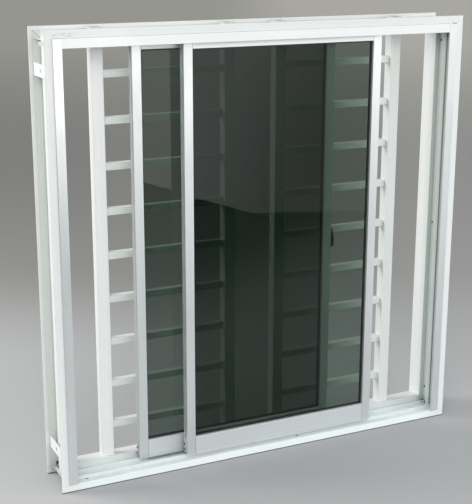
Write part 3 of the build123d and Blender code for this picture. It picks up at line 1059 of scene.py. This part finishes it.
def addPlugs(cfg):
    parts = []
    for side, sign in sides:
        across = sorted(sign * v for v in cfg["reach"])
        near, far = (frontFace + v for v in cfg["depths"])
        low, high = cfg["heights"]
        plug = startBlock((across[0], near, low), (across[1], far, high))
        pickEdges(plug, lambda a, b: min(a.z, b.z) > high - 0.001 and min(a.y, b.y) > far - 0.001)
        bpy.ops.transform.translate(value=(0, 0, -cfg["fall"]))
        closeEdit()
        roundEdges(plug, cfg["round"], 2)
        pickFaces(plug, lambda place, normal: True)
        bpy.ops.mesh.subdivide(number_cuts=cfg["cuts"])
        bpy.ops.transform.vertex_random(offset=cfg["rough"], uniform=1.0, seed=9 + sign)
        closeEdit()
        parts.append(plug)
    joinAs("sillEndShadePlugs", parts, "frame", blackSealantAndShade, 60)


# Dark cups in the drain slots: painted shade of the holes
drainSet = {
    "places": (-0.529, 0.106),
    "depth": 0.017,
    "size": (0.0078, 0.0038),
    "heights": (0.0203, 0.0221),
    "rim": 0.0005,
    "deep": 0.0011,
}


def addDrains(cfg):
    low, high = cfg["heights"]
    half = Vector(cfg["size"]) / 2
    parts = []
    for x in cfg["places"]:
        y = frontFace + cfg["depth"]
        cup = startBlock((x - half.x, y - half.y, low), (x + half.x, y + half.y, high))
        pickEdges(cup, lambda a, b: abs(a.z - b.z) > 0.001)
        bpy.ops.mesh.bevel(offset=half.y * 0.95, segments=5)
        pickFaces(cup, lambda place, normal: normal.z > 0.9)
        bpy.ops.mesh.inset(thickness=cfg["rim"])
        bpy.ops.mesh.extrude_region_move(TRANSFORM_OT_translate={"value": (0, 0, -cfg["deep"])})
        closeEdit()
        parts.append(cup)
    joinAs("drainHoleShade", parts, "frame", seamShadow)


# Dark blocks in the anchors' slots: painted shade of the holes
slotSet = {
    "depth": 0.0615,
    "fromEnd": 0.016,        # up from the lower anchor's foot, down from the upper one's top
    "thick": 0.0016,
    "proud": 0.0003,
    "width": 0.0034,
    "length": 0.0098,
    "round": 0.0001,
}


def addAnchorSlots(cfg):
    y = frontFace + cfg["depth"]
    wide, long = cfg["width"] / 2, cfg["length"] / 2
    parts = []
    for side, sign in sides:
        low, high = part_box(side + "_anchors")
        face = low.x if sign < 0 else high.x
        ends = sorted((face + sign * cfg["proud"], face - sign * cfg["thick"]))
        for z in (low.z + cfg["fromEnd"], high.z - cfg["fromEnd"]):
            slot = startBlock((ends[0], y - wide, z - long), (ends[1], y + wide, z + long))
            pickEdges(slot, lambda a, b: abs(a.x - b.x) > 0.001)
            bpy.ops.mesh.bevel(offset=wide * 0.94, segments=5)
            closeEdit()
            roundEdges(slot, cfg["round"], 1)
            parts.append(slot)
    joinAs("anchorSlotShade", parts, "frame", seamShadow)


# Screw and grip ridges of the latch
latchSet = {
    "screwRadius": 0.0019,
    "screwHeight": 0.0011,
    "screwLift": 0.0065,
    "ridges": 6,
    "ridgeStart": 0.006,
    "ridgePitch": 0.0032,
    "ridgeThick": 0.0012,
    "ridgeProud": 0.0006,
    "ridgeRoot": 0.0008,     # into the lever
    "ridgeShort": 0.0012,    # at each end
    "ridgeTaper": (1, 0.85, 0.5),
    "ridgeRound": 0.0002,
    "screwInset": 0.3,       # of its radius
    "screwCrown": 0.0003,
    "crownTaper": (0.7, 1, 0.7),
}


def addLatchDetail(cfg):
    low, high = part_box("rear_sash_latch")
    parts = []
    for step in range(cfg["ridges"]):
        z = low.z + cfg["ridgeStart"] + step * cfg["ridgePitch"]
        half, short = cfg["ridgeThick"] / 2, cfg["ridgeShort"]
        ridge = startBlock((high.x - cfg["ridgeRoot"], low.y + short, z - half),
                           (high.x + cfg["ridgeProud"], high.y - short, z + half))
        pickFaces(ridge, lambda place, normal: normal.x > 0.9)
        bpy.ops.transform.resize(value=cfg["ridgeTaper"])
        closeEdit()
        roundEdges(ridge, cfg["ridgeRound"], 2)
        parts.append(ridge)
    joinAs("latchRidges", parts, "rear_sash", finishes["latch"])
    bpy.ops.mesh.primitive_cylinder_add(
        vertices=18, radius=cfg["screwRadius"], depth=cfg["screwHeight"], rotation=(math.pi / 2, 0, 0),
        location=((low.x + high.x) / 2, low.y - cfg["screwHeight"] / 2, high.z - cfg["screwLift"]))
    pin = bpy.context.object
    bpy.ops.object.transform_apply(location=True, rotation=True, scale=True)
    pickFaces(pin, lambda place, normal: normal.y < -0.9)
    bpy.ops.mesh.inset(thickness=cfg["screwRadius"] * cfg["screwInset"])
    bpy.ops.mesh.extrude_region_move(TRANSFORM_OT_translate={"value": (0, -cfg["screwCrown"], 0)})
    bpy.ops.transform.resize(value=cfg["crownTaper"])
    closeEdit()
    joinAs("latchPin", [pin], "rear_sash", zincSteel)


darkScrew = metalMaterial("darkScrew", (0.09, 0.09, 0.088, 1), 0.42)
zincSteel = metalMaterial("zincSteel", (0.62, 0.63, 0.62, 1), 0.33)
# black sealant, also the painted shade of the sill chamber's ends
blackSealantAndShade = darkMaterial("blackSealantAndShade", (0.010, 0.011, 0.011, 1), 0.5)
seamShadow = darkMaterial("seamShadow", (0.05, 0.052, 0.05, 1), 0.8)
# grey for painted shade in the stops' gaps and under the bars' ends
gapShadeGrey = darkMaterial("gapShadeGrey", (0.26, 0.275, 0.27, 1), 0.8)
darkFibre = fibreMaterial("darkFibre", (0.15, 0.16, 0.16, 1), (0.27, 0.285, 0.285, 1))
pileFibre = fibreMaterial("pileFibre", (0.27, 0.29, 0.29, 1), (0.46, 0.48, 0.48, 1))
pileFibrePaintedLight = fibreMaterial("pileFibrePaintedLight", (0.58, 0.60, 0.60, 1), (0.78, 0.80, 0.79, 1))

addScrews(screwSet)
addPiles(pileSet)
addSillBrush(brushSet)
print("screws and pile strips fitted")
addCornerSeals(sealSet)
addBarEndShade(barShadeSet)
addSeams(seamSet)
addSashSeams(seamSet)
addPlugs(plugSet)
addDrains(drainSet)
addAnchorSlots(slotSet)
addLatchDetail(latchSet)
print("seals, seams and small fittings fitted")
